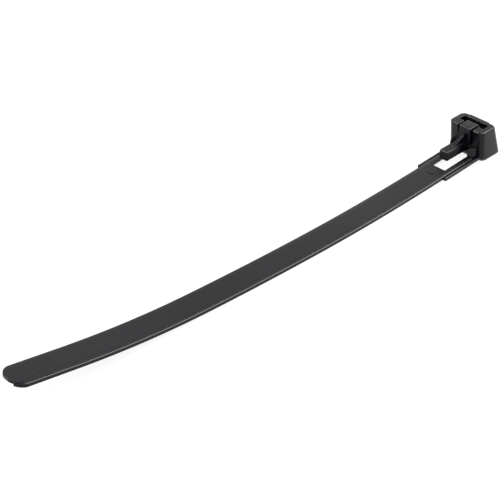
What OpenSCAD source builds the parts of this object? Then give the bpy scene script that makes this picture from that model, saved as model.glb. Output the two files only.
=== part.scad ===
// Releasable cable tie, 7.6 mm wide strap, one piece moulded in black nylon.
// The origin is the middle of the slot entry at the head underside, and the floor is z = 0.
// The strap lies along -X, and the tail goes up through the slot along +Z.
// The pawl holds the notches on the strap underside.

/* [Strap] */
// Full width of the strap over both side ledges, mm
strap_width = 7.6; // [6.5:0.1:9.0]
// Full thickness of the strap at its raised middle, mm
strap_thickness = 1.1; // [1.0:0.05:1.4]
// Width of the low ledge down each long edge, mm
ledge_width = 0.35; // [0.2:0.05:0.6]
// Height of the raised middle above the ledges, mm
ledge_drop = 0.15; // [0.1:0.05:0.3]
// Length of the straight end of the strap, up to its rounded tip, mm
tip_length = 15.2; // [10.0:0.1:18.0]
// Plan radius of the corners of the thin leading tongue, mm
tip_corner = 3.3; // [1.5:0.1:3.4]
// Plan radius of the corners of the full-thickness body behind it, mm
body_corner = 3.0; // [1.0:0.1:3.4]
// Length of the thin leading tongue under which the body is cut away, mm
tongue_length = 0.4; // [0.3:0.1:2.0]
// Thickness of the thin leading tongue, mm
tongue_thickness = 0.55; // [0.4:0.05:0.9]
// Width of the recess in the underside at the very end, mm
end_bay_width = 3.9; // [3.0:0.1:4.8]
// Length of that recess back from the end of the body, mm
end_bay_length = 2.0; // [1.0:0.25:4.0]

/* [Ratchet] */
// Distance from one notch to the next, mm
notch_pitch = 1.5; // [1.3:0.05:2.0]
// Depth of each notch in the strap underside, mm
notch_depth = 0.5; // [0.3:0.05:0.6]
// Width of the notches across the strap, mm
notch_width = 4.8; // [4.2:0.1:5.4]
// Flat land left between two notches, mm
notch_land = 0.3; // [0.2:0.05:0.5]
// Notch pitches left smooth next to the shoulder
smooth_start = 5; // [2:1:10]
// Notch pitches left smooth before the end of the strap
smooth_end = 3; // [1:1:12]

/* [Lie of the strap] */
// Slope at which the strap leaves the shoulder towards the floor, degrees
dip_angle = 2.1; // [1.5:0.1:2.8]
// Notch pitches in the part that comes down to the floor
dip_pitches = 16; // [12:1:24]
// Sideways turn of the strap where it lies flat on the floor, degrees
side_angle = 2.4; // [0.2:0.2:6.0]
// Notch pitches in the part that lies flat on the floor
flat_pitches = 17; // [10:1:30]
// Upward turn of the part that just leaves the floor, degrees
lift_angle = 1.9; // [0.8:0.1:4.0]
// Notch pitches in the part that just leaves the floor
lift_pitches = 20; // [10:1:40]
// Upward turn of the curled end part, degrees
curl_angle = 8.2; // [3.0:0.2:14.0]
// Notch pitches in the curled end part
curl_pitches = 25; // [16:1:50]

/* [Neck] */
// Distance from the shoulder to the head front face, measured at the floor, mm
neck_length = 14.75; // [14.0:0.25:18.0]
// Full width of the neck over its side flanges, mm
neck_width = 9.5; // [9.2:0.1:10.2]
// Distance from the shoulder to the front end of the side flanges, mm
flange_start = 0.7; // [0.2:0.1:1.5]
// Height of the neck side flanges, mm
flange_height = 0.9; // [0.6:0.05:0.95]
// Width of the groove between each flange and the strap edge, mm
groove_width = 0.35; // [0.2:0.05:0.4]
// Depth of that groove below the flange top, mm
groove_depth = 0.45; // [0.2:0.05:0.5]
// Distance from the shoulder to the window under the lever, mm
window_start = 3.2; // [2.8:0.1:4.0]
// Length of the window under the lever, mm
window_length = 11.5; // [10.0:0.1:11.6]
// Width of the window under the lever, mm
window_width = 4.6; // [4.0:0.1:4.8]
// Diameter of the round ejector mark near the shoulder, mm
mark_diameter = 2.7; // [2.0:0.1:3.2]
// Height of the round ejector mark, mm
mark_height = 0.12; // [0.05:0.01:0.2]

/* [Head] */
// Height of the head without the top ridge, mm
head_height = 9.5; // [8.2:0.1:10.5]
// Width of the head, mm
head_width = 11.1; // [10.6:0.1:12.0]
// Length of the head at the floor, mm
head_length = 8.5; // [8.0:0.1:9.2]
// Lean of the head front face towards the strap, degrees
front_lean = 7.5; // [4.0:0.5:10.0]
// Lean of the head back face towards the strap, degrees
back_lean = 20.0; // [12.0:0.5:21.0]
// Radius of the two front upright corners, mm
front_corner = 2.1; // [0.6:0.1:2.2]
// Radius of the two back upright corners, mm
back_corner = 1.5; // [1.0:0.1:2.2]
// Chamfer round the top rim of the head, mm
rim_chamfer = 0.4; // [0.2:0.05:0.6]
// Chamfer round the bottom rim of the head, mm
base_chamfer = 0.6; // [0.6:0.05:0.8]
// Height of the ridge on top of the back wall, mm
ridge_height = 0.2; // [0.1:0.05:0.6]
// Width of the ridge on top of the back wall, mm
ridge_width = 6.3; // [5.0:0.1:7.0]

/* [Slot and pawl] */
// Side play of the strap in the head slot, mm
slot_side_play = 0.15; // [0.1:0.05:0.3]
// Play of the strap between the pawl body and the back wall, mm
slot_play = 0.15; // [0.1:0.05:0.3]
// Thickness of the two front cheeks of the head at the top, mm
cheek_thickness = 2.65; // [2.4:0.05:3.2]
// Width of the pawl, mm
pawl_width = 3.6; // [2.8:0.1:3.8]
// Gap between the pawl and each cheek, mm
pawl_gap = 0.6; // [0.4:0.05:0.7]
// Length of the pawl at its top, mm
pawl_length = 3.65; // [3.3:0.05:4.0]
// Distance from the head top front edge forward to the pawl front face, mm
pawl_lead = 0.2; // [0.1:0.05:0.6]
// Height of the pawl top above the head top, mm
pawl_rise = 0.1; // [0.0:0.05:0.7]
// Thickness of the living hinge that carries the pawl, mm
hinge_thickness = 1.2; // [0.8:0.05:1.6]

/* [Lever] */
// Width of the release lever, mm
lever_width = 2.6; // [2.0:0.1:2.8]
// Height of the release lever section, mm
lever_height = 2.7; // [2.0:0.05:2.9]
// Height of the lever underside above the floor, mm
lever_base = 3.05; // [2.9:0.05:3.6]
// Reach of the lever ahead of the pawl front face, mm
lever_reach = 8.3; // [7.0:0.1:9.0]
// Thickness of the gusset on top of the lever, mm
gusset_thickness = 1.0; // [0.6:0.1:1.4]
// Length of the gusset along the lever, mm
gusset_length = 4.7; // [3.5:0.1:5.0]
// Height of the gusset where it meets the pawl, mm
gusset_height = 2.2; // [1.4:0.1:2.6]
// Radius of the arch from the window end to the lever underside, mm
arch_radius = 0.9; // [0.6:0.1:1.2]
// Height of the two guide posts beside the lever root, above the neck, mm
post_height = 2.6; // [1.6:0.1:3.0]
// Length of the two guide posts ahead of the head front face, mm
post_length = 3.2; // [2.4:0.1:4.0]

/* [Hidden] */
nylon = [0.13, 0.13, 0.14];
$fn = 96;

half_strap = strap_width / 2;
half_raised = half_strap - ledge_width;
ledge_height = strap_thickness - ledge_drop;
half_neck = neck_width / 2;
half_head = head_width / 2;
half_window = window_width / 2;

all_pitches = dip_pitches + flat_pitches + lift_pitches + curl_pitches;
dip_run = dip_pitches * notch_pitch;
lift_run = lift_pitches * notch_pitch;
curl_run = curl_pitches * notch_pitch;
dip_end = dip_run;
flat_end = dip_end + flat_pitches * notch_pitch;
lift_end = flat_end + lift_run;
curl_end = lift_end + curl_run;
end_slope = lift_angle + curl_angle;
dip_radius = dip_run / (dip_angle * PI / 180);
lift_radius = lift_run / (lift_angle * PI / 180);
curl_radius = curl_run / (curl_angle * PI / 180);
flat_x = -dip_radius * sin(dip_angle);
lift_x = flat_x - flat_pitches * notch_pitch;
curl_x = lift_x - lift_radius * sin(lift_angle);
curl_z = lift_radius * (1 - cos(lift_angle));
end_x = curl_x - curl_radius * (sin(end_slope) - sin(lift_angle));
end_z = curl_z + curl_radius * (cos(lift_angle) - cos(end_slope));
flat_run = flat_x - lift_x;
side_radius = flat_run / sin(side_angle);
shoulder_height = dip_radius * (1 - cos(dip_angle));

front_x = neck_length;
back_x = front_x + head_length;
top_front_x = front_x - head_height * tan(front_lean);
top_back_x = back_x - head_height * tan(back_lean);
cheek_x = top_front_x + cheek_thickness;
strap_root = cheek_x - 0.3;
pawl_top = head_height + pawl_rise;
pawl_front_x = top_front_x - pawl_lead;
pawl_back_x = pawl_front_x + pawl_length;
wall_x = pawl_back_x + strap_thickness + slot_play;
half_slot = half_strap + slot_side_play;
half_pawl = pawl_width / 2;
half_bay = half_pawl + pawl_gap;
tooth_height = notch_depth * 0.9;
tooth_start = pawl_top - 0.5;
pawl_low_z = lever_base + 1.1;
pawl_teeth = floor((tooth_start - pawl_low_z) / notch_pitch + 0.25);
window_end = window_start + window_length;
plate_top = shoulder_height + window_end * sin(dip_angle) + strap_thickness;
bay_floor = plate_top + 0.05;
lever_end_x = pawl_front_x - lever_reach;
lever_top = lever_base + lever_height;
root_front_x = window_end - 0.05;
root_back_x = root_front_x + hinge_thickness;
slot_x = (pawl_back_x + wall_x) / 2;

// Slope of the strap at run s from the shoulder, in degrees, upward to the strap end
function slope(s) =
    s < 0 ? -dip_angle :
    s < dip_end ? -dip_angle * (1 - s / dip_run) :
    s < flat_end ? 0 :
    s < lift_end ? lift_angle * (s - flat_end) / lift_run :
    s < curl_end ? lift_angle + curl_angle * (s - lift_end) / curl_run :
    lift_angle + curl_angle;

// Place of the strap underside at run s from the shoulder, as x and z
function underside(s) =
    s < 0 ? [-s * cos(dip_angle), shoulder_height - s * sin(dip_angle)] :
    s < dip_end ? [-dip_radius * (sin(dip_angle) + sin(slope(s))), dip_radius * (1 - cos(slope(s)))] :
    s < flat_end ? [flat_x + dip_end - s, 0] :
    s < lift_end ? [lift_x - lift_radius * sin(slope(s)), lift_radius * (1 - cos(slope(s)))] :
    s < curl_end ? [curl_x - curl_radius * (sin(slope(s)) - sin(lift_angle)),
        curl_z + curl_radius * (cos(lift_angle) - cos(slope(s)))] :
    [end_x - (s - curl_end) * cos(end_slope), end_z + (s - curl_end) * sin(end_slope)];

// Point of the strap side view at run s and height h above the underside
function along(s, h) = underside(s) + h * [sin(slope(s)), cos(slope(s))];

// Side view of the strap between two heights over its underside
module strap_profile(low, high) {
    bent = [for (i = [1 : all_pitches]) if (i <= dip_pitches || i >= dip_pitches + flat_pitches) i * notch_pitch];
    runs = concat([-strap_root, 0], bent, [curl_end + tip_length]);
    last = len(runs) - 1;
    polygon(concat([for (i = [0 : last]) along(runs[i], low)],
        [for (i = [0 : last]) along(runs[last - i], high)]));
}

// Side view of the cutter for all notches, steep towards the strap end and sloping towards the head
module notch_profile() {
    first = smooth_start;
    last = all_pitches - smooth_end - 1;
    run = notch_pitch - notch_land;
    polygon(concat(
        [along(first * notch_pitch, -0.4)],
        [for (i = [first : last], k = [0 : 2])
            along(i * notch_pitch + notch_land / 2 + (k == 0 ? 0 : run), k == 1 ? notch_depth : -0.05)],
        [for (i = [0 : last - first]) along((last + 1 - i) * notch_pitch, -0.4)]));
}

// Heading of the strap in plan at place x, in degrees
function heading(x) = asin(min(max((flat_x - x) / side_radius, 0), sin(side_angle)));

// Middle of the strap in plan at place x
function sideways(x) = side_radius * (1 - cos(heading(x))) + max(lift_x - x, 0) * tan(side_angle);

// Plan of a band along the middle of the strap
module strap_plan(half) {
    steps = 6;
    places = concat([40], [for (i = [0 : steps]) flat_x - flat_run * i / steps], [end_x - tip_length - 5]);
    last = len(places) - 1;
    polygon(concat(
        [for (i = [0 : last]) let (x = places[i]) [x - half * sin(heading(x)), sideways(x) - half * cos(heading(x))]],
        [for (i = [0 : last]) let (x = places[last - i]) [x + half * sin(heading(x)), sideways(x) + half * cos(heading(x))]]));
}

// Band of the strap with the given half width, cut from a side view
module band(half) {
    intersection() {
        across(60)
            children();
        translate([0, 0, -5])
            linear_extrude(height = 60)
                strap_plan(half);
    }
}

module across(width) {
    rotate([90, 0, 0])
        translate([0, 0, -width / 2])
            linear_extrude(height = width)
                children();
}

// Plan outline from the origin towards -X with two rounded end corners
module rounded_end(length, half, corner) {
    translate([-length + corner, -half])
        square([length - corner + 1, half * 2]);
    translate([-length, -half + corner])
        square([corner + 0.01, (half - corner) * 2]);
    for (side = [-1, 1])
        translate([-length + corner, side * (half - corner)])
            circle(r = corner);
}

// Waste round the strap end, leaving a thin rounded tongue over two side rails that stop short
module end_waste() {
    body = tip_length - tongue_length;
    split = strap_thickness - tongue_thickness;
    translate([0, 0, split])
        linear_extrude(height = 3)
            difference() {
                translate([-tip_length - 2, -strap_width])
                    square([tip_length + 2, strap_width * 2]);
                rounded_end(tip_length, half_raised, tip_corner);
                rounded_end(body, half_strap + 0.05, body_corner);
            }
    translate([0, 0, -2])
        linear_extrude(height = split + 2)
            difference() {
                translate([-tip_length - 2, -strap_width])
                    square([tip_length + 2, strap_width * 2]);
                difference() {
                    rounded_end(body, half_strap + 0.05, body_corner);
                    translate([-body - 1, -end_bay_width / 2])
                        square([end_bay_length + 1, end_bay_width]);
                }
            }
}

module strap() {
    difference() {
        union() {
            band(half_strap)
                strap_profile(0, ledge_height);
            band(half_raised)
                strap_profile(0, strap_thickness);
        }
        band(notch_width / 2)
            notch_profile();
        translate([end_x, sideways(end_x), end_z])
            rotate([0, end_slope, -side_angle])
                end_waste();
    }
}

// Grooved flange down each side of the neck, in the frame of the sloping neck
module flanges() {
    web = flange_height - groove_depth;
    for (side = [-1, 1]) {
        translate([flange_start, side * (half_strap + half_neck - 0.3) / 2 - (half_neck - half_strap + 0.3) / 2, 0])
            cube([strap_root - flange_start, half_neck - half_strap + 0.3, web]);
        translate([flange_start, side * (half_strap + groove_width + half_neck) / 2 - (half_neck - half_strap - groove_width) / 2, 0])
            cube([strap_root - flange_start, half_neck - half_strap - groove_width, flange_height]);
    }
}

// Strap with its neck, window and ejector mark
module strap_and_neck() {
    difference() {
        union() {
            strap();
            translate([0, 0, shoulder_height])
                rotate([0, -dip_angle, 0])
                    flanges();
        }
        translate([0, 0, shoulder_height])
            rotate([0, -dip_angle, 0]) {
                translate([window_start, -half_window, -1])
                    cube([window_length, window_width, 5]);
            }
    }
    translate([0, 0, shoulder_height])
        rotate([0, -dip_angle, 0])
            translate([0.7, 0, strap_thickness - 0.3])
                cylinder(d = mark_diameter, h = 0.3 + mark_height);
}

// Solid outline of the head, leaning faces and rounded upright corners
module head_block() {
    far = 40;
    tall = 30;
    intersection() {
        translate([front_x, 0, 0])
            rotate([0, -front_lean, 0])
                translate([0, 0, -5])
                    linear_extrude(height = tall) {
                        translate([front_corner, -half_head])
                            square([far, head_width]);
                        translate([0, -half_head + front_corner])
                            square([far, head_width - 2 * front_corner]);
                        for (side = [-1, 1])
                            translate([front_corner, side * (half_head - front_corner)])
                                circle(r = front_corner);
                    }
        translate([back_x, 0, 0])
            rotate([0, -back_lean, 0])
                translate([0, 0, -5])
                    linear_extrude(height = tall) {
                        translate([-far, -half_head])
                            square([far - back_corner, head_width]);
                        translate([-far, -half_head + back_corner])
                            square([far, head_width - 2 * back_corner]);
                        for (side = [-1, 1])
                            translate([-back_corner, side * (half_head - back_corner)])
                                circle(r = back_corner);
                    }
        rotate([90, 0, 0])
            translate([0, 0, -half_head - 1])
                linear_extrude(height = head_width + 2)
                    polygon([[front_x + 1.0, 0], [back_x - base_chamfer, 0],
                        [back_x + 0.1, base_chamfer + 0.2], [top_back_x + rim_chamfer, head_height - rim_chamfer * 2],
                        [top_back_x - rim_chamfer, head_height], [top_front_x + rim_chamfer * 0.6, head_height],
                        [top_front_x - 0.1, head_height - rim_chamfer], [front_x - 0.2, 1.2]]);
        rotate([90, 0, 90])
            linear_extrude(height = far)
                polygon([[-half_head + base_chamfer, 0], [half_head - base_chamfer, 0],
                    [half_head, base_chamfer], [half_head, head_height - rim_chamfer],
                    [half_head - rim_chamfer, head_height], [-half_head + rim_chamfer, head_height],
                    [-half_head, head_height - rim_chamfer], [-half_head, base_chamfer]]);
    }
}

// Space for the tail, flared where the tail enters from below
module slot_space() {
    rotate([90, 0, 0])
        translate([0, 0, -half_slot])
            linear_extrude(height = half_slot * 2)
                polygon([[cheek_x - 0.5, -1], [cheek_x - 0.5, 0], [cheek_x, 1.2], [cheek_x, 20],
                    [wall_x, 20], [wall_x, 2.4], [wall_x + 1.3, 0], [wall_x + 1.3, -1]]);
}

module head_shell() {
    difference() {
        union() {
            head_block();
            translate([wall_x + 0.1, -ridge_width / 2, head_height - 1])
                cube([top_back_x - wall_x - 0.3, ridge_width, ridge_height + 1]);
        }
        slot_space();
        translate([top_front_x - 2, -half_bay, bay_floor])
            cube([cheek_thickness + 2.5, half_bay * 2, head_height]);
    }
    for (side = [-1, 1])
        scale([1, side, 1])
            translate([front_x, 0, plate_top - 0.9])
                linear_extrude(height = post_height + 0.9)
                    polygon([[-post_length, half_window + 0.5], [0.4, half_window + 0.5],
                        [0.4, half_strap + 0.1], [1.5 - post_length, half_strap + 0.1],
                        [-post_length, half_window + 0.7]]);
}

// Side view of the lever and the hinge root
module lever_profile() {
    difference() {
        polygon([[root_front_x - arch_radius, lever_base], [lever_end_x + 0.25, lever_base],
            [lever_end_x, lever_base + 0.25], [lever_end_x, lever_top - 0.25],
            [lever_end_x + 0.25, lever_top], [pawl_front_x + 1, lever_top],
            [pawl_back_x - 0.6, pawl_low_z - 0.6], [root_back_x, lever_base - 0.6],
            [root_back_x, plate_top - 0.4], [root_front_x, plate_top - 0.4],
            [root_front_x, lever_base - arch_radius], [root_front_x - arch_radius, lever_base - arch_radius]]);
        translate([root_front_x - arch_radius, lever_base - arch_radius])
            circle(r = arch_radius);
    }
}

// Side view of the pawl with its ratchet teeth
module pawl_profile() {
    polygon([[pawl_front_x, lever_top - 0.5], [pawl_front_x, pawl_top - 0.15], [pawl_front_x + 0.15, pawl_top],
        [pawl_back_x - 0.3, pawl_top], [pawl_back_x, pawl_top - 0.3], [pawl_back_x, pawl_low_z],
        [pawl_back_x - 0.6, pawl_low_z - 0.6], [pawl_front_x + 1, lever_top - 1.2]]);
    for (i = [0 : pawl_teeth - 1])
        let (top = tooth_start - i * notch_pitch)
            polygon([[pawl_back_x - 0.1, top], [pawl_back_x + tooth_height, top],
                [pawl_back_x, top - notch_pitch * 0.75], [pawl_back_x - 0.1, top - notch_pitch * 0.75]]);
}

module pawl_and_lever() {
    across(lever_width)
        lever_profile();
    across(pawl_width)
        pawl_profile();
    across(gusset_thickness)
        polygon([[pawl_front_x + 0.3, lever_top - 0.3], [pawl_front_x - gusset_length, lever_top - 0.3],
            [pawl_front_x - gusset_length, lever_top], [pawl_front_x, lever_top + gusset_height],
            [pawl_front_x + 0.3, lever_top + gusset_height]]);
}

module cable_tie() {
    color(nylon)
        translate([-slot_x, 0, 0]) {
            strap_and_neck();
            head_shell();
            pawl_and_lever();
        }
}

cable_tie();
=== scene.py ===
import math
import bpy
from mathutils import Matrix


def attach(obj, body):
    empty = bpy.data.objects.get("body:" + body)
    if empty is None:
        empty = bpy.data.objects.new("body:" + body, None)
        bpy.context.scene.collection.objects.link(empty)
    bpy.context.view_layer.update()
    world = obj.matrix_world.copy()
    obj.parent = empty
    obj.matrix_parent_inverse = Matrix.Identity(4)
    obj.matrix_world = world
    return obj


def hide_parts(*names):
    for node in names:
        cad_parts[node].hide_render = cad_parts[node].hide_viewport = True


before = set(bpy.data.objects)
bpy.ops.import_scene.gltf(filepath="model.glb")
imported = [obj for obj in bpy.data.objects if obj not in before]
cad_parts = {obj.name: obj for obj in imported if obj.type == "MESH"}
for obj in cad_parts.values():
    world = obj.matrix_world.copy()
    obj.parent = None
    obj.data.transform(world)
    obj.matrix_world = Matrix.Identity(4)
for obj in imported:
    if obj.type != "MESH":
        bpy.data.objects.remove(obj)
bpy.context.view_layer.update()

from types import SimpleNamespace

import bmesh
import bpy
import numpy as np
from bpy.props import FloatProperty, FloatVectorProperty, IntProperty, PointerProperty
from mathutils import Matrix, Vector

bl_info = {
    "name": "Releasable cable tie",
    "version": (1, 0, 0),
    "blender": (4, 5, 0),
    "location": "View3D > Sidebar > Cable tie",
    "description": "Builds a black nylon releasable cable tie and the stage it is shown on",
    "category": "Add Mesh",
}

# One millimetre, a slight clearance or overlap, the distance that merges points, room for rounding
MM = 0.001
SLACK = 0.05 * MM
MERGE = 2e-7
ROUNDING = 1e-9

# Round of the flange ends, width of the window rim, run of the steep walls of the bay and the mark
FLANGE_ROUND = 0.12 * MM
WINDOW_RIM = 0.07 * MM
WALL_RUN = 0.03 * MM

# Points on each round corner of the strap section, of the head in plan and of the side views
STRAP_STEPS = 4
HEAD_STEPS = 9
SIDE_STEPS = 6

# Angles past which an edge is kept crisp, and past which it gets a round
CRISP_ANGLE = math.radians(40)
BEVEL_ANGLE = math.radians(50)

# Camera sensor in millimetres, frame in pixels and the place of the shoulder in it
SENSOR = 36
FRAME = 500
SHOULDER_IN_FRAME = (429.6228, 176.8765)


def millimetres(name, value, text):
    """Length property, given in millimetres and kept in metres."""
    return FloatProperty(name=name, description=text, default=value * MM, unit="LENGTH", precision=5)


def degrees(name, value, text):
    """Angle property, given in degrees and kept in radians."""
    return FloatProperty(name=name, description=text, default=math.radians(value), subtype="ANGLE")


def number(name, value, text):
    """Plain number property."""
    return FloatProperty(name=name, description=text, default=value)


def whole_number(name, value, text):
    """Whole number property."""
    return IntProperty(name=name, description=text, default=value)


def colour(name, value, text):
    """Colour property in linear light."""
    return FloatVectorProperty(name=name, description=text, default=value, subtype="COLOR", size=3,
                               min=0, max=1)


# Sizes and colours

class StrapSizes(bpy.types.PropertyGroup):
    width: millimetres("Width", 7.6, "Full width of the strap over both side ledges")
    thickness: millimetres("Thickness", 1.1, "Thickness of the strap at its raised middle")
    ledge_width: millimetres("Ledge width", 0.35, "Width of the low ledge down each long edge")
    ledge_drop: millimetres("Ledge drop", 0.15, "Height of the raised middle above the ledges")
    ledge_fall: millimetres("Ledge fall", 0.12, "Fall of the ledges towards the long edges")
    crease_width: millimetres("Crease width", 0.08, "Width of the crease between ledge and raised middle")
    crease_depth: millimetres("Crease depth", 0.12, "Depth of the crease between ledge and raised middle")
    tip_length: millimetres("Tip length", 15.2, "Length of the straight end of the strap")
    tip_corner: millimetres("Tip corner", 3.3, "Plan radius of the corners of the end tongue")
    body_corner: millimetres("Body corner", 3.0, "Plan radius of the corners of the body behind the tongue")
    tongue_length: millimetres("Tongue length", 0.4, "Length of the thin leading tongue")
    tongue_thickness: millimetres("Tongue thickness", 0.55, "Thickness of the thin leading tongue")
    end_bay_width: millimetres("End bay width", 3.9, "Width of the recess in the underside at the end")
    end_bay_length: millimetres("End bay length", 2.0, "Length of that recess from the end of the body")
    edge_radius: millimetres("Edge radius", 0.05, "Radius of the long lower edges")
    ledge_radius: millimetres("Ledge radius", 0.12, "Radius of the outer edge of the side ledges")
    seam_run: millimetres("Seam run", 6.3, "Distance from the end of the strap to the mould seam across it")
    seam_depth: millimetres("Seam depth", 0.022, "Depth of the mould seam across the strap")


class RatchetSizes(bpy.types.PropertyGroup):
    pitch: millimetres("Pitch", 1.5, "Distance from one notch to the next")
    depth: millimetres("Depth", 0.5, "Depth of each notch in the strap underside")
    width: millimetres("Width", 4.8, "Width of the notches across the strap")
    land: millimetres("Land", 0.3, "Flat land left between two notches")
    smooth_start: whole_number("Smooth start", 5, "Pitches left smooth next to the shoulder")
    smooth_end: whole_number("Smooth end", 3, "Pitches left smooth before the strap end")


class StrapLie(bpy.types.PropertyGroup):
    dip_angle: degrees("Dip", 2.1, "Slope at which the strap leaves the shoulder towards the floor")
    dip_pitches: whole_number("Dip pitches", 16, "Pitches in the part that comes down")
    side_angle: degrees("Side turn", 2.4, "Sideways turn of the strap where it lies on the floor")
    flat_pitches: whole_number("Flat pitches", 17, "Pitches in the part that lies flat")
    lift_angle: degrees("Lift", 1.9, "Upward turn of the part that leaves the floor")
    lift_pitches: whole_number("Lift pitches", 20, "Pitches in the part that lifts")
    curl_angle: degrees("Curl", 8.2, "Upward turn of the curled end part")
    curl_pitches: whole_number("Curl pitches", 25, "Pitches in the curled end part")


class NeckSizes(bpy.types.PropertyGroup):
    length: millimetres("Length", 14.75, "Distance from the shoulder to the head front face")
    width: millimetres("Width", 9.5, "Full width of the neck over its side flanges")
    flange_start: millimetres("Flange start", 0.7, "Distance from the shoulder to the side flanges")
    flange_height: millimetres("Flange height", 0.9, "Height of the side flanges")
    flange_fall: millimetres("Flange fall", 0.13, "Fall of the flange tops towards the outside")
    groove_width: millimetres("Groove width", 0.35, "Width of the groove beside each flange")
    groove_depth: millimetres("Groove depth", 0.45, "Depth of the groove below the flange top")
    window_start: millimetres("Window start", 3.2, "Distance from the shoulder to the window")
    window_length: millimetres("Window length", 11.5, "Length of the window under the lever")
    window_width: millimetres("Window width", 4.6, "Width of the window under the lever")
    mark_place: millimetres("Mark place", 0.7, "Distance from the shoulder to the ejector mark")
    mark_diameter: millimetres("Mark diameter", 2.7, "Diameter of the round ejector mark")
    mark_height: millimetres("Mark height", 0.12, "Height of the round ejector mark")


class HeadSizes(bpy.types.PropertyGroup):
    height: millimetres("Height", 9.5, "Height of the head without the top ridge")
    width: millimetres("Width", 11.1, "Width of the head")
    length: millimetres("Length", 8.5, "Length of the head at the floor")
    front_lean: degrees("Front lean", 7.5, "Lean of the front face towards the strap")
    back_lean: degrees("Back lean", 20.0, "Lean of the back face towards the strap")
    front_corner: millimetres("Front corner", 2.1, "Radius of the front upright corners")
    back_corner: millimetres("Back corner", 1.5, "Radius of the back upright corners")
    rim: millimetres("Rim", 0.4, "Chamfer round the top rim")
    base: millimetres("Base", 0.6, "Chamfer round the bottom rim")
    ridge_height: millimetres("Ridge height", 0.2, "Height of the ridge on the back wall")
    ridge_width: millimetres("Ridge width", 6.3, "Width of the ridge on the back wall")
    cheek: millimetres("Cheek", 2.65, "Thickness of the front cheeks at the top")
    side_play: millimetres("Side play", 0.15, "Side play of the strap in the slot")
    slot_play: millimetres("Slot play", 0.15, "Play of the strap in front of the pawl")
    post_height: millimetres("Post height", 2.6, "Height of the two guide posts above the neck")
    post_length: millimetres("Post length", 3.2, "Length of the guide posts ahead of the head")
    edge_round: millimetres("Edge round", 0.12, "Rounding of the moulded edges")


class PawlSizes(bpy.types.PropertyGroup):
    width: millimetres("Pawl width", 3.6, "Width of the pawl")
    gap: millimetres("Pawl gap", 0.6, "Gap between the pawl and each cheek")
    length: millimetres("Pawl length", 3.65, "Length of the pawl at its top")
    lead: millimetres("Pawl lead", 0.2, "Distance from the head top front edge to the pawl front face")
    rise: millimetres("Pawl rise", 0.1, "Height of the pawl top above the head")
    hinge: millimetres("Hinge", 1.2, "Thickness of the living hinge")
    lever_width: millimetres("Lever width", 2.6, "Width of the release lever")
    lever_height: millimetres("Lever height", 2.7, "Height of the lever section")
    lever_base: millimetres("Lever base", 3.05, "Height of the lever underside above the floor")
    lever_reach: millimetres("Lever reach", 8.3, "Reach of the lever ahead of the pawl")
    gusset_thickness: millimetres("Gusset thickness", 1.0, "Thickness of the gusset on the lever")
    gusset_length: millimetres("Gusset length", 4.7, "Length of the gusset along the lever")
    gusset_height: millimetres("Gusset height", 2.2, "Height of the gusset at the pawl")
    arch_radius: millimetres("Arch radius", 0.9, "Radius of the arch under the lever root")
    edge_round: millimetres("Edge round", 0.18, "Rounding of the moulded edges")


class NylonLook(bpy.types.PropertyGroup):
    body: colour("Body", (0.0026, 0.0024, 0.0042), "Colour of the black nylon")
    bloom: colour("Bloom", (0.0046, 0.0043, 0.0068), "Colour of the greyed, rubbed skin")
    roughness: number("Roughness", 0.3, "Roughness of the moulded skin")
    specular: number("Specular", 0.19, "Specular level of the nylon")
    skin_size: millimetres("Skin size", 0.16, "Size of the fine moulded skin texture")
    skin_depth: millimetres("Skin depth", 0.0015, "Depth of the fine moulded skin texture")


class StageLook(bpy.types.PropertyGroup):
    floor: colour("Floor", (0.2, 0.2, 0.2), "Colour of the pale floor")
    glow: number("Backdrop glow", 0.84, "White that the camera sees on the floor")
    room: number("Room light", 1.7, "Strength of the even light of the room")
    key: number("Key", 5.0, "Power of the soft key light in watts")
    fill: number("Fill", 9.0, "Power of the soft light from the near side in watts")
    back: number("Back", 0.14, "Power of the low soft light behind the tie in watts")
    focal: number("Focal length", 96.995, "Focal length on a 36 mm sensor")
    azimuth: degrees("Azimuth", -44.4061, "Camera azimuth round the upright axis")
    elevation: degrees("Elevation", 35.6195, "Camera height above the horizon")
    roll: degrees("Roll", 0.0638, "Camera roll")
    distance: FloatProperty(name="Distance", description="Camera distance", default=0.352096, unit="LENGTH")


class CableTie(bpy.types.PropertyGroup):
    strap: PointerProperty(type=StrapSizes)
    ratchet: PointerProperty(type=RatchetSizes)
    lie: PointerProperty(type=StrapLie)
    neck: PointerProperty(type=NeckSizes)
    head: PointerProperty(type=HeadSizes)
    pawl: PointerProperty(type=PawlSizes)
    nylon: PointerProperty(type=NylonLook)
    stage: PointerProperty(type=StageLook)


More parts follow.
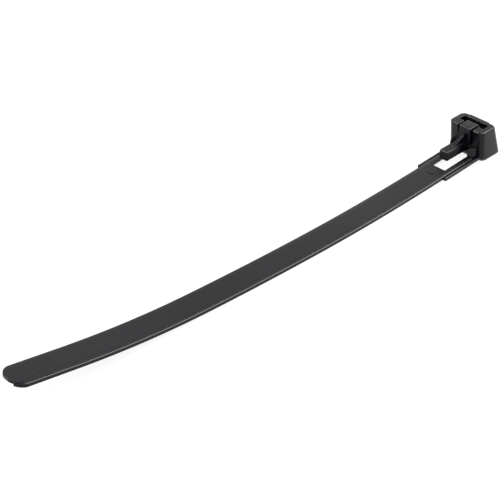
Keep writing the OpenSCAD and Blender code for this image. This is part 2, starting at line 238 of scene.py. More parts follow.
def places(tie):
    """Places that several pieces share, measured from the shoulder along X and up from the floor, and the
    sizes of the plain strap section."""
    neck, head, pawl, strap, lie = tie.neck, tie.head, tie.pawl, tie.strap, tie.lie
    p = SimpleNamespace()
    p.half = strap.width / 2
    p.raised = p.half - strap.ledge_width
    p.ledge = strap.thickness - strap.ledge_drop
    p.split = strap.thickness - strap.tongue_thickness
    dip_radius = lie.dip_pitches * tie.ratchet.pitch / lie.dip_angle
    p.shoulder = dip_radius * (1 - math.cos(lie.dip_angle))
    p.front = neck.length
    p.back = p.front + head.length
    p.top_front = p.front - head.height * math.tan(head.front_lean)
    p.top_back = p.back - head.height * math.tan(head.back_lean)
    p.cheek = p.top_front + head.cheek
    root_overlap = 0.3 * MM
    p.root = p.cheek - root_overlap
    p.pawl_front = p.top_front - pawl.lead
    p.pawl_back = p.pawl_front + pawl.length
    p.pawl_top = head.height + pawl.rise
    p.wall = p.pawl_back + strap.thickness + head.slot_play
    p.half_slot = p.half + head.side_play
    p.half_bay = pawl.width / 2 + pawl.gap
    p.window_end = neck.window_start + neck.window_length
    p.plate_top = p.shoulder + p.window_end * math.sin(lie.dip_angle) + strap.thickness
    p.bay_floor = p.plate_top + SLACK
    p.slot = (p.pawl_back + p.wall) / 2
    p.pitches = lie.dip_pitches + lie.flat_pitches + lie.lift_pitches + lie.curl_pitches
    p.strap_end = p.pitches * tie.ratchet.pitch + strap.tip_length
    p.bite = round_off((strap.width - strap.end_bay_width) / 2 + SLACK, strap.body_corner)
    p.rail_end = p.strap_end - strap.tongue_length - p.bite
    return p


# Mesh tools

def settle(name, points, faces, tie, bevel=None):
    """Makes a closed mesh object from shoulder-based points, with the slot entry moved to the origin.
    Doubles are merged, faces turned outwards and edges past the crisp angle kept crisp. With a bevel
    width, the edges past the bevel angle get a small round."""
    points = np.asarray(points, float).reshape(-1, 3) - np.array([places(tie).slot, 0.0, 0.0])
    mesh = bpy.data.meshes.new(name)
    mesh.from_pydata(points.tolist(), [], [[int(i) for i in face] for face in faces])
    shell = bmesh.new()
    shell.from_mesh(mesh)
    bmesh.ops.remove_doubles(shell, verts=shell.verts, dist=MERGE)
    bmesh.ops.dissolve_degenerate(shell, edges=shell.edges, dist=MERGE)
    bmesh.ops.recalc_face_normals(shell, faces=shell.faces)
    shell.to_mesh(mesh)
    shell.free()
    mesh.shade_smooth()
    mesh.set_sharp_from_angle(angle=CRISP_ANGLE)
    piece = bpy.data.objects.new(name, mesh)
    bpy.context.scene.collection.objects.link(piece)
    if bevel:
        soft = piece.modifiers.new("Moulded edges", "BEVEL")
        soft.width = bevel
        soft.segments = 3
        soft.limit_method = "ANGLE"
        soft.angle_limit = BEVEL_ANGLE
        soft.use_clamp_overlap = False
        soft.harden_normals = True
    mesh.materials.append(nylon_material(tie))
    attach(piece, "root")
    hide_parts("cable_tie")


def grid_faces(rows, columns, closed=False):
    """Quads between neighbouring rows and columns of a grid of points stored row by row. A closed grid
    also joins its last column to its first."""
    row = np.arange(rows - 1)[:, None]
    column = np.arange(columns if closed else columns - 1)[None, :]
    after = (column + 1) % columns
    quads = np.stack([row * columns + column, row * columns + after,
                      (row + 1) * columns + after, (row + 1) * columns + column], -1)
    return quads.reshape(-1, 4)


def round_corners(outline, radius, steps):
    """Rounds the corners of closed outlines, given as sets x corners x 2. A corner starts and ends one
    tangent length from its point: the radius times the tangent of half the turn, at most 0.45 of a side.
    Between A and B it runs ((1-t)^2 A + 2 t (1-t) w P + t^2 B) / ((1-t)^2 + 2 t (1-t) w + t^2), an exact
    circle, with w the cosine of half the turn and P the corner. Radius 0 keeps the corner as one point."""
    nought, widest_half, side_share = 1e-12, math.radians(80), 0.45
    back = np.roll(outline, 1, 1) - outline
    ahead = np.roll(outline, -1, 1) - outline
    back_length = np.linalg.norm(back, axis=-1) + nought
    ahead_length = np.linalg.norm(ahead, axis=-1) + nought
    back = back / back_length[..., None]
    ahead = ahead / ahead_length[..., None]
    turn = np.arccos(np.clip(-(back * ahead).sum(-1), -1, 1))
    half = np.minimum(turn / 2, widest_half)
    longest = side_share * np.minimum(back_length, ahead_length)
    reach = np.minimum(radius * np.tan(half), longest)[..., None]
    t = np.linspace(0, 1, steps)[None, None, :, None]
    w = np.cos(half)[..., None, None]
    start = (outline + back * reach)[:, :, None]
    end = (outline + ahead * reach)[:, :, None]
    top = (1 - t) ** 2 * start + 2 * t * (1 - t) * w * outline[:, :, None] + t ** 2 * end
    arcs = top / ((1 - t) ** 2 + 2 * t * (1 - t) * w + t ** 2)
    rounded = np.broadcast_to(radius, outline.shape[:2])[0] > 0
    keep = np.zeros((outline.shape[1], steps), bool)
    keep[rounded] = True
    keep[:, 0] |= ~rounded
    return arcs.reshape(len(outline), -1, 2)[:, keep.ravel()]


def round_off(gap, radius):
    """Inset of a rounded end: r - sqrt(r^2 - (r - gap)^2) within a radius of the end, else nought."""
    inside = np.clip(radius - gap, 0, radius)
    return radius - np.sqrt(radius ** 2 - inside ** 2)


# Strap and neck

def strap_line(run, tie):
    """Middle of the strap underside at a run from the shoulder, positive towards the strap end, with its
    slope and its heading in plan. The slope goes evenly from minus the dip to nought, stays nought on the
    floor, then rises evenly through the lift and the curl. The heading rises evenly over the flat part.
    In steps of 0.01 mm, X sums minus the cosine of the slope, Z its sine, and Y that cosine times the
    tangent of the heading. The lowest point lies on the floor."""
    lie, pitch = tie.lie, tie.ratchet.pitch
    parts = [0, lie.dip_pitches, lie.flat_pitches, lie.lift_pitches, lie.curl_pitches]
    ends = np.cumsum(parts) * pitch
    turns = np.cumsum([-lie.dip_angle, lie.dip_angle, 0.0, lie.lift_angle, lie.curl_angle])
    inside_head, past_end, samples = -0.02, 0.14, 16001
    fine = np.linspace(inside_head, past_end, samples)
    slope = np.interp(fine, ends, turns)
    heading = np.interp(fine, ends[1:3], [0.0, lie.side_angle])

    def running(rate):
        total = np.concatenate([[0.0], np.cumsum((rate[1:] + rate[:-1]) / 2 * np.diff(fine))])
        return total - np.interp(0.0, fine, total)

    x = running(-np.cos(slope))
    y = running(np.cos(slope) * np.tan(heading))
    z = running(np.sin(slope))
    z -= z.min()
    at = [np.interp(run, fine, values) for values in (x, y, z, slope, heading)]
    return np.stack(at[:3], -1), at[3], at[4]


def mark_runs(neck):
    """Distances from the shoulder to the rings over the ejector mark, closer together near its sides."""
    return neck.mark_place + neck.mark_diameter / 2 * np.cos(np.linspace(0, np.pi, 25))


def neck_runs(tie):
    """Runs at which the neck section is drawn, from its root in the head to the flange ends: close
    together at the window ends, round the ejector mark and at the flange ends."""
    neck, p = tie.neck, places(tie)
    window = np.linspace(neck.window_start, p.window_end, 9)
    window_ends = np.array([-0.12, -0.05, 0.0]) * MM
    flange_ends = np.array([0.12, 0.07, 0.03, 0.01, 0.0]) * MM
    mark, apart, clear_of_flange = mark_runs(neck), 0.1 * MM, 0.14 * MM
    distances = np.concatenate([
        [p.root],
        p.window_end - window_ends,
        window[1:-1],
        neck.window_start + window_ends,
        [mark.max() + apart],
        mark[mark > neck.flange_start + clear_of_flange],
        neck.flange_start + flange_ends,
    ])
    return -np.sort(distances)[::-1]


def strap_runs(tie):
    """Runs at which the strap section is drawn, from the flange ends to the end of the body, and the notch
    height at each. A notch climbs from its foot to full depth over a pitch less the land, then drops."""
    neck, ratchet, strap, p = tie.neck, tie.ratchet, tie.strap, places(tie)
    first, last = ratchet.smooth_start, p.pitches - ratchet.smooth_end - 1
    ramp = ratchet.pitch - ratchet.land
    share_of_ramp = np.array([0.09, 0.50, 0.93, 0.98, 0.9975, 1.0025, 1.015, 1.05])
    share_of_depth = np.array([0.0, 0.45, 0.926, 0.965, 0.91, 0.05, 0.012, 0.0])
    feet = np.arange(first, last + 1)[:, None] * ratchet.pitch + ratchet.land / 2
    notch = feet + share_of_ramp * ramp
    mark, apart, clear_of_flange = mark_runs(neck), 0.1 * MM, 0.01 * MM
    mark = -mark[mark < neck.flange_start - clear_of_flange]
    past_notch = 0.3 * MM
    bay_wall = p.rail_end - strap.end_bay_length + p.bite
    seam = p.strap_end - strap.seam_run
    near_seam = np.array([-0.3, -0.14, -0.06, 0, 0.06, 0.14, 0.3]) * MM
    near_end = [2.8, 2.5, 2.25, 2.0, 1.6, 1.4, 1.2, 1, 0.8, 0.6, 0.45, 0.3, 0.2, 0.12, 0.05, 0]
    plain = np.concatenate([
        [-neck.flange_start],
        mark,
        [mark.max() + apart],
        np.arange(1, first + 1) * ratchet.pitch,
        np.arange(last + 1, p.pitches + 1) * ratchet.pitch + past_notch,
        seam + near_seam,
        bay_wall + np.array([-0.003, 0.003]) * MM,
        p.rail_end - np.array(near_end) * MM,
    ])
    plain = plain[plain <= p.rail_end + ROUNDING]
    runs = np.concatenate([plain, notch.ravel()])
    heights = np.concatenate([np.zeros(len(plain)), np.tile(share_of_depth, len(notch)) * ratchet.depth])
    order = np.argsort(runs, kind="stable")
    return runs[order], heights[order]


def rings_of(corners, total):
    """Points as rings x corners x 2 from a list of corners. Each is a half width and a height, and each of
    these is one number or one number a ring."""
    columns = [np.stack([np.broadcast_to(value, total) for value in corner], -1) for corner in corners]
    return np.stack(columns, 1)


def neck_rings(tie, runs):
    """Near half of the section at the neck runs, and which of them cross the window. The flanges are drawn
    in at their front ends and the window rim is lowered."""
    strap, neck, p = tie.strap, tie.neck, places(tie)
    thick, opening = strap.thickness, neck.window_width / 2
    window = (-runs >= neck.window_start - ROUNDING) & (-runs <= p.window_end + ROUNDING)
    fall = 0.06 * MM
    rim_fall = np.where(window, fall, 0.0)
    pull = round_off(-runs - neck.flange_start, FLANGE_ROUND)
    outer, inner = neck.width / 2 - pull, p.half + neck.groove_width
    groove = neck.flange_height - neck.groove_depth
    corners = [
        (opening, rim_fall),
        (opening + WINDOW_RIM, 0),
        (outer, 0),
        (outer, neck.flange_height - neck.flange_fall - pull),
        (inner + pull, neck.flange_height - pull),
        (inner, groove),
        (p.half, groove),
        (p.half, p.ledge - strap.ledge_fall),
        (p.raised + strap.crease_width, p.ledge),
        (p.raised, p.ledge - strap.crease_depth),
        (p.raised, thick),
        (opening + WINDOW_RIM, thick),
        (opening, thick - rim_fall),
    ]
    return rings_of(corners, len(runs)), window


def strap_rings(tie, runs, bay):
    """Near half of the section at the strap runs, over notches of the given heights. The side wall is
    split at the foot of the tongue, and the rails and the tongue are drawn in towards their ends."""
    strap, ratchet, p = tie.strap, tie.ratchet, places(tie)
    opening = tie.neck.window_width / 2
    gap = p.rail_end - runs + p.bite
    low = np.minimum(p.half, p.half + SLACK - round_off(gap, strap.body_corner))
    tongue = p.raised - round_off(gap + strap.tongue_length, strap.tip_corner)
    high = np.maximum(low, tongue)
    end_bay = gap < strap.end_bay_length
    bay = np.where(end_bay, p.split, bay)
    bay_half = np.where(end_bay, strap.end_bay_width, ratchet.width) / 2
    seam_spread, wall_foot = 0.09 * MM, 0.2 * MM
    seam = strap.seam_depth * np.exp(-((runs - p.strap_end + strap.seam_run) / seam_spread) ** 2)
    top, ledge = strap.thickness - seam, p.ledge - seam
    open_ledge = np.clip((high - tongue) / strap.ledge_width, 0, 1)
    corners = [
        (bay_half - WALL_RUN, bay),
        (np.minimum(bay_half + WALL_RUN, low), 0),
        (low, 0),
        (low, wall_foot),
        (low, p.split - SLACK),
        (low, p.split),
        (high, p.split),
        (high, ledge - strap.ledge_fall * open_ledge),
        (np.minimum(high, tongue + strap.crease_width), ledge),
        (tongue, ledge - strap.crease_depth * open_ledge),
        (tongue, top),
        (np.minimum(opening + WINDOW_RIM, 0.94 * tongue), top),
        (np.minimum(opening, 0.9 * tongue), top),
    ]
    return rings_of(corners, len(runs))


def tongue_rings(tie, left):
    """Near half of the section of the tongue, the upper layer alone, at distances from its end. Its plan
    corners and both faces are drawn in. Half widths and heights go in shares of the tongue's own."""
    strap, p = tie.strap, places(tie)
    face_round = 0.15 * MM
    pull = round_off(left, face_round)
    wide = p.raised - round_off(left, strap.tip_corner) - pull
    floor, roof = p.split + pull, strap.thickness - pull
    share_of_width = [0.92, 0.935, 0.94, 0.945, 0.95, 1, 1, 1, 1, 1, 1, 0.94, 0.9]
    share_of_height = [0, 0, 0, 0, 0, 0, 0.33, 0.66, 0.75, 0.85, 1, 1, 1]
    corners = [(wide * across, floor + (roof - floor) * up)
               for across, up in zip(share_of_width, share_of_height)]
    return rings_of(corners, len(left))


def mark_rings(tie, runs, inmost):
    """Foot and top of the ejector mark's wall at each run. Half a chord is sqrt(r^2 - d^2) at a distance d
    from the centre. Away from the mark both points lie level on the raised middle, within its inmost
    corner."""
    neck = tie.neck
    radius = neck.mark_diameter / 2
    away = np.abs(runs + neck.mark_place)
    hair = 1e-7
    on_mark = away < radius - hair

    def half_chord(r):
        return np.sqrt(np.clip(r ** 2 - away ** 2, 0, None))

    foot = np.where(on_mark, half_chord(radius), 0.5 * radius)
    foot = np.minimum(foot, 0.92 * inmost[:, 0])
    brim = np.where(on_mark, half_chord(radius - WALL_RUN), 0.45 * radius)
    brim = np.minimum(brim, 0.96 * foot)
    risen = np.where(on_mark, neck.mark_height * np.clip((radius - away) / WALL_RUN, 0, 1), 0.0)
    return rings_of([(foot, inmost[:, 1]), (brim, inmost[:, 1] + risen)], len(runs))


def strap_section(tie):
    """Rings of the strap and neck as one closed tube. A ring is an outline of height over width with 15
    corners a side: notch bay (2), underside edge, flange (4), ledge (2), crease (1), raised middle (2),
    window (1) and ejector mark (2). On the plain strap the flange corners lie along the side wall, and on
    the tongue along its underside. Returns the points, the rings over the window and the corner radii."""
    strap, p = tie.strap, places(tie)
    at_neck = neck_runs(tie)
    at_strap, bay = strap_runs(tie)
    left = (p.strap_end - p.rail_end) * (1 - np.sin(np.linspace(0, np.pi / 2, 16)))
    runs = np.concatenate([at_neck, at_strap, p.strap_end - left])
    neck, window = neck_rings(tie, at_neck)
    near = np.concatenate([neck, strap_rings(tie, at_strap, bay), tongue_rings(tie, left)])
    near = np.concatenate([near, mark_rings(tie, runs, near[:, -1])], 1)

    edge, ledge_edge, fine = strap.edge_radius, strap.ledge_radius, 0.04 * MM
    groove_edge, crease_edge, crease_foot = 0.06 * MM, 0.03 * MM, 0.01 * MM
    radii = np.array([0, fine, edge, ledge_edge, edge, groove_edge, groove_edge, ledge_edge, crease_edge,
                      crease_foot, fine, fine, 0, 0, 0])
    outline = np.concatenate([near, near[:, ::-1] * [-1, 1]], 1)
    outline = round_corners(outline, np.concatenate([radii, radii[::-1]]), STRAP_STEPS)

    middle, slope, heading = strap_line(runs, tie)
    slope, heading = slope[:, None], heading[:, None]
    width, height = outline[..., 0], outline[..., 1]
    points = np.stack([middle[:, None, 0] + height * np.sin(slope) + width * np.sin(heading),
                       middle[:, None, 1] + width * np.cos(heading),
                       middle[:, None, 2] + height * np.cos(slope)], -1)
    return points, np.flatnonzero(window), radii


def strap_faces(points, open_rings, radii):
    """Quads round the tube with a cap at each end. Over the window rings the two middle spans, above and
    below, are left out, and the four walls of the window are put in."""
    rings, columns = points.shape[:2]
    side = int(np.where(radii > 0, STRAP_STEPS, 1).sum())
    lip = side - 3
    quads = grid_faces(rings, columns, closed=True).reshape(rings - 1, columns, 4)
    keep = np.ones((rings - 1, columns), bool)
    first, last = open_rings[0], open_rings[-1]
    keep[first:last, lip:columns - lip - 1] = False
    keep[first:last, columns - 1] = False
    faces = quads[keep].tolist()
    ring = np.arange(first, last)
    for upper, lower in ((lip, 0), (columns - 1 - lip, columns - 1)):
        faces += np.stack([ring * columns + upper, ring * columns + lower,
                           (ring + 1) * columns + lower, (ring + 1) * columns + upper], -1).tolist()
    for index in (first, last):
        faces.append([index * columns + c for c in [0, *range(lip, columns - lip), columns - 1]])
    faces.append(list(range(columns)))
    faces.append([(rings - 1) * columns + c for c in range(columns)])
    return faces


# Head

def head_levels(tie):
    """Outer and inner outlines of the head, level by level from the floor up, both with the same number
    of points. The outer one leans and is drawn in by the round rim and the base chamfer. The inner one is
    the slot, flared where the strap end goes in. Both start and end at the sides of the pawl bay."""
    head, p = tie.head, places(tie)
    top, lean, tilt = head.height, math.tan(head.front_lean), math.tan(head.back_lean)
    front_flare, front_flare_height = 0.5 * MM, 1.2 * MM
    back_flare, back_flare_height = 1.3 * MM, 2.4 * MM
    front_cut, back_cut_slope, thinnest = 1.0 * MM, 0.875, 0.15 * MM
    low = [0, 0.3 * MM, 0.525 * MM, head.base, 1.107 * MM]
    middle = [front_flare_height, p.bay_floor, back_flare_height, 4 * MM, 6 * MM]
    below_top = head.rim * np.array([1.3, 1, 0.7, 0.46, 0.27, 0.12, 0.03, 0])
    z = np.concatenate([low, middle, top - below_top])
    rim = round_off(top - z, head.rim)
    front = np.maximum(p.front - z * lean, p.front + front_cut - z) + rim
    back = np.minimum(p.back - z * tilt, p.back - head.base + back_cut_slope * z) - rim
    half = head.width / 2 - np.clip(head.base - z, 0, None) - rim
    cheek = p.cheek - front_flare * (1 - np.clip(z / front_flare_height, 0, 1))
    cheek = np.maximum(cheek, front + thinnest)
    wall = p.wall + back_flare * (1 - np.clip(z / back_flare_height, 0, 1))

    def loop(corners, radii):
        near = rings_of(corners, len(z))
        outline = np.concatenate([near, near[:, ::-1] * [1, -1]], 1)
        return round_corners(outline, np.array(radii + radii[::-1]), HEAD_STEPS)

    slot_corner = 0.2 * MM
    outer = loop([(front, p.half_bay), (front, half), (back, half)],
                 [0, head.front_corner, head.back_corner])
    inner = loop([(cheek, p.half_bay), (cheek, p.half_slot), (wall, p.half_slot)],
                 [0, slot_corner, slot_corner])
    level = int(np.flatnonzero(np.isclose(z, p.bay_floor))[0])
    return z, outer, inner, level


def head_surface(tie):
    """Points and faces of the head shell: outer and inner walls, top and bottom rings between them, the
    two cheek faces of the pawl bay and the bay floor."""
    z, outer, inner, level = head_levels(tie)
    rows, columns = outer.shape[:2]
    lift = np.broadcast_to(z[:, None, None], (rows, columns, 1))
    points = np.concatenate([np.concatenate([outer, lift], -1).reshape(-1, 3),
                             np.concatenate([inner, lift], -1).reshape(-1, 3)])
    shift = rows * columns
    walls = grid_faces(rows, columns)
    closing = grid_faces(rows, columns, closed=True).reshape(rows - 1, columns, 4)[:level, -1]
    faces = np.concatenate([walls, closing, walls[:, ::-1] + shift, closing[:, ::-1] + shift]).tolist()
    step = np.arange(columns)
    after = (step + 1) % columns
    base = np.stack([step, after, shift + after, shift + step], -1)
    roof = base + (rows - 1) * columns
    faces += base.tolist() + roof[:-1].tolist()
    row = np.arange(level, rows) * columns
    for c in (0, columns - 1):
        faces.append([*(row + c), *(row[::-1] + c + shift)])
    a, b = level * columns, level * columns + columns - 1
    faces.append([a, b, b + shift, a + shift])
    return points, faces


def slab(x, y, z):
    """Points and faces of a block between two places on each axis."""
    plan = ((x[0], y[0]), (x[1], y[0]), (x[1], y[1]), (x[0], y[1]))
    corners = np.array([[i, j, k] for k in z for i, j in plan])
    faces = grid_faces(2, 4, closed=True).tolist() + [[3, 2, 1, 0], [4, 5, 6, 7]]
    return corners, faces


def guide_post(tie, side):
    """Points and faces of a guide post on one rail of the neck, with a slanted front, up to its height."""
    head, p = tie.head, places(tie)
    beside_window, past_strap, into_head = 0.5 * MM, 0.1 * MM, 0.4 * MM
    slant, blunt, sunk = 1.5 * MM, 0.2 * MM, 0.9 * MM
    inner, outer = tie.neck.window_width / 2 + beside_window, p.half + past_strap
    nose, root = p.front - head.post_length, p.front + into_head
    plan = np.array([[nose, inner], [root, inner], [root, outer], [nose + slant, outer],
                     [nose, inner + blunt]])
    rings = [np.column_stack([plan[:, 0], side * plan[:, 1], np.full(5, z)])
             for z in (p.plate_top - sunk, p.plate_top + head.post_height)]
    faces = grid_faces(2, 5, closed=True).tolist() + [[4, 3, 2, 1, 0], [5, 6, 7, 8, 9]]
    return np.concatenate(rings), faces


def gather(parts):
    """Joins several sets of points and faces into one."""
    points, faces, first = [], [], 0
    for part_points, part_faces in parts:
        points.append(np.asarray(part_points, float).reshape(-1, 3))
        faces += [[i + first for i in face] for face in part_faces]
        first += len(points[-1])
    return np.concatenate(points), faces


# Pawl and lever

def across(outline, width):
    """Closed side-view outline carried across the tie: one ring at each side and a cap on each."""
    total = len(outline)
    rings = [np.column_stack([outline[:, 0], np.full(total, side * width / 2), outline[:, 1]])
             for side in (-1, 1)]
    faces = grid_faces(2, total, closed=True).tolist()
    faces += [list(range(total))[::-1], list(range(total, 2 * total))]
    return np.concatenate(rings), faces


def lever_outline(tie):
    """Side view of the lever and hinge root. The arch is a quarter circle from the underside down, and the
    lever end has round corners."""
    pawl, p = tie.pawl, places(tie)
    low, high = pawl.lever_base, pawl.lever_base + pawl.lever_height
    tip = p.pawl_front - pawl.lever_reach
    root = p.window_end - SLACK
    turn = np.linspace(np.pi / 2, 0, 9)
    arch = np.column_stack([root - pawl.arch_radius + pawl.arch_radius * np.cos(turn),
                            low - pawl.arch_radius + pawl.arch_radius * np.sin(turn)])
    sunk, hinge_drop, knee_rise = 0.4 * MM, 0.6 * MM, 0.5 * MM
    from_back, from_front, end_round = 0.6 * MM, 1 * MM, 0.3 * MM
    foot, hinge = p.plate_top - sunk, root + pawl.hinge
    rest = [[root, foot], [hinge, foot], [hinge, low - hinge_drop],
            [p.pawl_back - from_back, low + knee_rise], [p.pawl_front + from_front, high],
            [tip, high], [tip, low]]
    outline = np.concatenate([arch, rest])
    radii = np.zeros(len(outline))
    radii[-2:] = end_round
    return round_corners(outline[None], radii, SIDE_STEPS)[0]


def pawl_outline(tie):
    """Side view of the pawl with round top corners. Each tooth has a flat top and a long slope down to the
    next one."""
    pawl, ratchet, p = tie.pawl, tie.ratchet, places(tie)
    high = pawl.lever_base + pawl.lever_height
    low, start = pawl.lever_base + 1.1 * MM, p.pawl_top - 0.5 * MM
    bite, slope, spare = 0.9 * ratchet.depth, 0.75 * ratchet.pitch, 0.25
    front_drop, from_front, root_drop, chamfer = 0.5 * MM, 1 * MM, 1.2 * MM, 0.6 * MM
    front_round, back_round = 0.2 * MM, 0.35 * MM
    total = math.floor((start - low) / ratchet.pitch + spare)
    crest = start - np.arange(total) * ratchet.pitch
    tooth = np.array([[0, 0], [bite, 0], [0, -slope]])
    teeth = tooth[None] + np.stack([np.full(total, p.pawl_back), crest], -1)[:, None]
    top = [[p.pawl_front, high - front_drop], [p.pawl_front, p.pawl_top], [p.pawl_back, p.pawl_top]]
    bottom = [[p.pawl_back, low], [p.pawl_back - chamfer, low - chamfer],
              [p.pawl_front + from_front, high - root_drop]]
    outline = np.concatenate([top, teeth.reshape(-1, 2), bottom])
    radii = np.zeros(len(outline))
    radii[1:3] = [front_round, back_round]
    return round_corners(outline[None], radii, SIDE_STEPS)[0]


def gusset_outline(tie):
    """Side view of the gusset, a triangle on the lever against the pawl, a little way into both."""
    pawl, p = tie.pawl, places(tie)
    overlap = 0.3 * MM
    high = pawl.lever_base + pawl.lever_height
    nose, root, top = p.pawl_front - pawl.gusset_length, p.pawl_front + overlap, high + pawl.gusset_height
    return np.array([[root, high - overlap], [nose, high - overlap], [nose, high], [p.pawl_front, top],
                     [root, top]])


# Finish

def moulded_skin():
    """Node group with the look of moulded nylon: broad greyed patches, fine grain and a fine bump."""
    group = bpy.data.node_groups.get("Moulded nylon skin")
    if group:
        return group
    group = bpy.data.node_groups.new("Moulded nylon skin", "ShaderNodeTree")
    sockets = group.interface
    inputs = (
        ("Body", "NodeSocketColor", (0.02, 0.02, 0.02, 1)),
        ("Bloom", "NodeSocketColor", (0.04, 0.04, 0.04, 1)),
        ("Roughness", "NodeSocketFloat", 0.42),
        ("Patch Scale", "NodeSocketFloat", 60.0),
        ("Grain Scale", "NodeSocketFloat", 6000.0),
        ("Grain Depth", "NodeSocketFloat", 4e-6),
    )
    for name, kind, value in inputs:
        sockets.new_socket(name=name, in_out="INPUT", socket_type=kind).default_value = value
    outputs = (
        ("Color", "NodeSocketColor"),
        ("Roughness", "NodeSocketFloat"),
        ("Normal", "NodeSocketVector"),
    )
    for name, kind in outputs:
        sockets.new_socket(name=name, in_out="OUTPUT", socket_type=kind)
    nodes, link = group.nodes, group.links.new
    given, result = nodes.new("NodeGroupInput"), nodes.new("NodeGroupOutput")
    place = nodes.new("ShaderNodeTexCoord")

    patches = nodes.new("ShaderNodeTexNoise")
    patches.inputs["Detail"].default_value = 5
    patches.inputs["Roughness"].default_value = 0.6
    link(place.outputs["Object"], patches.inputs["Vector"])
    link(given.outputs["Patch Scale"], patches.inputs["Scale"])
    spread = nodes.new("ShaderNodeMapRange")
    spread.inputs["From Min"].default_value = 0.35
    spread.inputs["From Max"].default_value = 0.72
    link(patches.outputs["Fac"], spread.inputs["Value"])
    tint = nodes.new("ShaderNodeMix")
    tint.data_type = "RGBA"
    link(spread.outputs["Result"], tint.inputs["Factor"])
    link(given.outputs["Body"], tint.inputs["A"])
    link(given.outputs["Bloom"], tint.inputs["B"])
    link(tint.outputs["Result"], result.inputs["Color"])

    grain = nodes.new("ShaderNodeTexNoise")
    grain.inputs["Detail"].default_value = 3
    link(place.outputs["Object"], grain.inputs["Vector"])
    link(given.outputs["Grain Scale"], grain.inputs["Scale"])
    sway = nodes.new("ShaderNodeMapRange")
    sway.inputs["To Min"].default_value = -0.06
    sway.inputs["To Max"].default_value = 0.08
    link(grain.outputs["Fac"], sway.inputs["Value"])
    rough = nodes.new("ShaderNodeMath")
    rough.operation = "ADD"
    link(given.outputs["Roughness"], rough.inputs[0])
    link(sway.outputs["Result"], rough.inputs[1])
    link(rough.outputs["Value"], result.inputs["Roughness"])

    bump = nodes.new("ShaderNodeBump")
    link(grain.outputs["Fac"], bump.inputs["Height"])
    link(given.outputs["Grain Depth"], bump.inputs["Distance"])
    link(bump.outputs["Normal"], result.inputs["Normal"])
    return group


def nylon_material(tie):
    """Black nylon, matt with a soft sheen on its edges."""
    look = tie.nylon
    material = bpy.data.materials.get("black_nylon")
    if material:
        return material
    material = bpy.data.materials.new("black_nylon")
    material.use_nodes = True
    nodes, link = material.node_tree.nodes, material.node_tree.links.new
    shader = nodes["Principled BSDF"]
    shader.inputs["IOR"].default_value = 1.53
    shader.inputs["Specular IOR Level"].default_value = look.specular
    skin = nodes.new("ShaderNodeGroup")
    skin.node_tree = moulded_skin()
    skin.inputs["Body"].default_value = (*look.body, 1)
    skin.inputs["Bloom"].default_value = (*look.bloom, 1)
    skin.inputs["Roughness"].default_value = look.roughness
    skin.inputs["Grain Scale"].default_value = 1 / look.skin_size
    skin.inputs["Grain Depth"].default_value = look.skin_depth
    link(skin.outputs["Color"], shader.inputs["Base Color"])
    link(skin.outputs["Roughness"], shader.inputs["Roughness"])
    link(skin.outputs["Normal"], shader.inputs["Normal"])
    return material


def seen_or_mirrored(nodes, link):
    """One for rays that the eye follows: camera, glossy and transmission."""
    path = nodes.new("ShaderNodeLightPath")
    total = path.outputs["Is Camera Ray"]
    for name in ("Is Glossy Ray", "Is Transmission Ray"):
        most = nodes.new("ShaderNodeMath")
        most.operation = "MAXIMUM"
        link(total, most.inputs[0])
        link(path.outputs[name], most.inputs[1])
        total = most.outputs["Value"]
    return total


def floor_material(look):
    """Pale floor that keeps the shadow and shows white to the eye."""
    material = bpy.data.materials.new("pale_floor")
    material.use_nodes = True
    nodes, link = material.node_tree.nodes, material.node_tree.links.new
    shader = nodes["Principled BSDF"]
    shader.inputs["Base Color"].default_value = (*look.floor, 1)
    shader.inputs["Roughness"].default_value = 0.9
    shader.inputs["Specular IOR Level"].default_value = 0.0
    shader.inputs["Emission Color"].default_value = (1, 1, 1, 1)
    level = nodes.new("ShaderNodeMath")
    level.operation = "MULTIPLY"
    level.inputs[1].default_value = look.glow
    link(seen_or_mirrored(nodes, link), level.inputs[0])
    link(level.outputs["Value"], shader.inputs["Emission Strength"])
    return material


def room_world(look):
    """Even pale room: white where it is seen, and of its own strength as a light."""
    world = bpy.data.worlds.new("pale_room")
    bpy.context.scene.world = world
    world.use_nodes = True
    nodes, link = world.node_tree.nodes, world.node_tree.links.new
    shader = nodes["Background"]
    shader.inputs["Color"].default_value = (1, 1, 1, 1)
    level = nodes.new("ShaderNodeMapRange")
    level.inputs["To Min"].default_value = look.room
    level.inputs["To Max"].default_value = 1.0
    link(seen_or_mirrored(nodes, link), level.inputs["Value"])
    link(level.outputs["Result"], shader.inputs["Strength"])


def soft_light(name, place, aim, size, power):
    """Square area light at a place, turned to its aim. It gives sheen, and the room the even light."""
    lamp = bpy.data.lights.new(name, "AREA")
    lamp.shape = "SQUARE"
    lamp.size = size
    lamp.energy = power
    light = bpy.data.objects.new(name, lamp)
    light.location = place
    light.visible_diffuse = False
    light.rotation_euler = (Vector(aim) - Vector(place)).to_track_quat("-Z", "Y").to_euler()
    bpy.context.scene.collection.objects.link(light)


# Operators

class CABLETIE_OT_strap(bpy.types.Operator):
    """Make the ratchet strap with its tongue, neck, window and ejector mark"""
    bl_idname = "cabletie.strap"
    bl_label = "Strap and neck"

    def execute(self, context):
        tie = context.scene.cable_tie
        points, open_rings, radii = strap_section(tie)
        settle("strap_and_neck", points, strap_faces(points, open_rings, radii), tie)
        return {"FINISHED"}


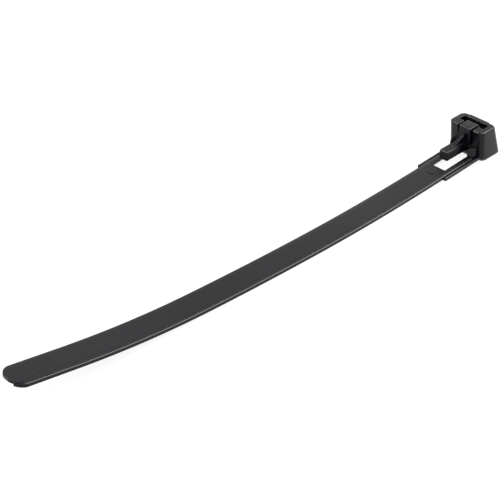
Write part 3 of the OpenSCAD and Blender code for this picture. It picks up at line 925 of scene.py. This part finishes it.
class CABLETIE_OT_head(bpy.types.Operator):
    """Make the head with its slot, pawl bay, top ridge and guide posts"""
    bl_idname = "cabletie.head"
    bl_label = "Head"

    def execute(self, context):
        tie = context.scene.cable_tie
        head, p = tie.head, places(tie)
        from_slot, from_back, sunk = 0.1 * MM, 0.2 * MM, 1 * MM
        ridge = slab((p.wall + from_slot, p.top_back - from_back),
                     (-head.ridge_width / 2, head.ridge_width / 2),
                     (head.height - sunk, head.height + head.ridge_height))
        posts = [guide_post(tie, side) for side in (-1, 1)]
        points, faces = gather([head_surface(tie), ridge, *posts])
        settle("head", points, faces, tie, bevel=head.edge_round)
        return {"FINISHED"}


class CABLETIE_OT_pawl(bpy.types.Operator):
    """Make the toothed pawl with its hinge root, release lever and gusset"""
    bl_idname = "cabletie.pawl"
    bl_label = "Pawl and lever"

    def execute(self, context):
        tie = context.scene.cable_tie
        pawl = tie.pawl
        points, faces = gather([across(lever_outline(tie), pawl.lever_width),
                                across(pawl_outline(tie), pawl.width),
                                across(gusset_outline(tie), pawl.gusset_thickness)])
        settle("pawl_and_lever", points, faces, tie, bevel=pawl.edge_round)
        return {"FINISHED"}


class CABLETIE_OT_stage(bpy.types.Operator):
    """Make the floor, the room, the soft lights and the camera"""
    bl_idname = "cabletie.stage"
    bl_label = "Stage"

    def execute(self, context):
        scene = context.scene
        look = scene.cable_tie.stage
        scene.view_settings.view_transform = "Standard"
        room_world(look)

        reach = 1.5
        plan = ((-reach, -reach), (reach, -reach), (reach, reach), (-reach, reach))
        mesh = bpy.data.meshes.new("floor")
        mesh.from_pydata([(x, y, 0) for x, y in plan], [], [(0, 1, 2, 3)])
        mesh.materials.append(floor_material(look))
        floor = bpy.data.objects.new("floor", mesh)
        scene.collection.objects.link(floor)

        neck, curl = (-0.04, 0, 0), (-0.12, 0, 0)
        soft_light("key_light", (-0.30, 0.26, 0.32), neck, 0.25, look.key)
        soft_light("back_light", (0.25, 0.27, 0.07), curl, 0.12, look.back)
        soft_light("near_light", (0.25, -0.16, 0.41), neck, 0.45, look.fill)
        self.camera(scene, look)
        return {"FINISHED"}

    def camera(self, scene, look):
        """Camera at the viewing angle: it looks along minus the back vector, and is moved in its own plane
        so that the shoulder falls at its place in the frame."""
        a, e, r = look.azimuth, look.elevation, look.roll
        back = Vector((math.sin(a) * math.cos(e), -math.cos(a) * math.cos(e), math.sin(e)))
        right = Vector((math.cos(a), math.sin(a), 0))
        up = back.cross(right)
        right, up = right * math.cos(r) + up * math.sin(r), up * math.cos(r) - right * math.sin(r)
        pixels = look.focal / SENSOR * FRAME
        aside, below = [(at - FRAME / 2) / pixels * look.distance for at in SHOULDER_IN_FRAME]
        shoulder = Vector((-places(scene.cable_tie).slot, 0, 0))
        place = shoulder + back * look.distance - right * aside + up * below
        lens = bpy.data.cameras.new("camera")
        lens.sensor_width = SENSOR
        lens.lens = look.focal
        lens.clip_start = 0.01
        lens.clip_end = 10
        camera = bpy.data.objects.new("camera", lens)
        camera.matrix_world = Matrix.Translation(place) @ Matrix((right, up, back)).transposed().to_4x4()
        scene.collection.objects.link(camera)
        scene.camera = camera


class CABLETIE_PT_panel(bpy.types.Panel):
    bl_idname = "CABLETIE_PT_panel"
    bl_label = "Cable tie"
    bl_space_type = "VIEW_3D"
    bl_region_type = "UI"
    bl_category = "Cable tie"

    def draw(self, context):
        tie = context.scene.cable_tie
        for piece in PIECES:
            self.layout.operator(piece.bl_idname)
        for name in ("strap", "ratchet", "lie", "neck", "head", "pawl", "nylon", "stage"):
            group = getattr(tie, name)
            box = self.layout.box()
            box.label(text=name.capitalize())
            for size in group.__annotations__:
                box.prop(group, size)


PIECES = (CABLETIE_OT_strap, CABLETIE_OT_head, CABLETIE_OT_pawl, CABLETIE_OT_stage)
PARTS = (StrapSizes, RatchetSizes, StrapLie, NeckSizes, HeadSizes, PawlSizes, NylonLook, StageLook)
CLASSES = (*PARTS, CableTie, *PIECES, CABLETIE_PT_panel)


def register():
    for item in CLASSES:
        bpy.utils.register_class(item)
    bpy.types.Scene.cable_tie = PointerProperty(type=CableTie)


def unregister():
    del bpy.types.Scene.cable_tie
    for item in reversed(CLASSES):
        bpy.utils.unregister_class(item)


def main():
    """Makes every piece and the stage."""
    register()
    bpy.ops.cabletie.stage()
    bpy.ops.cabletie.strap()
    bpy.ops.cabletie.head()
    bpy.ops.cabletie.pawl()


if __name__ == "__main__":
    main()
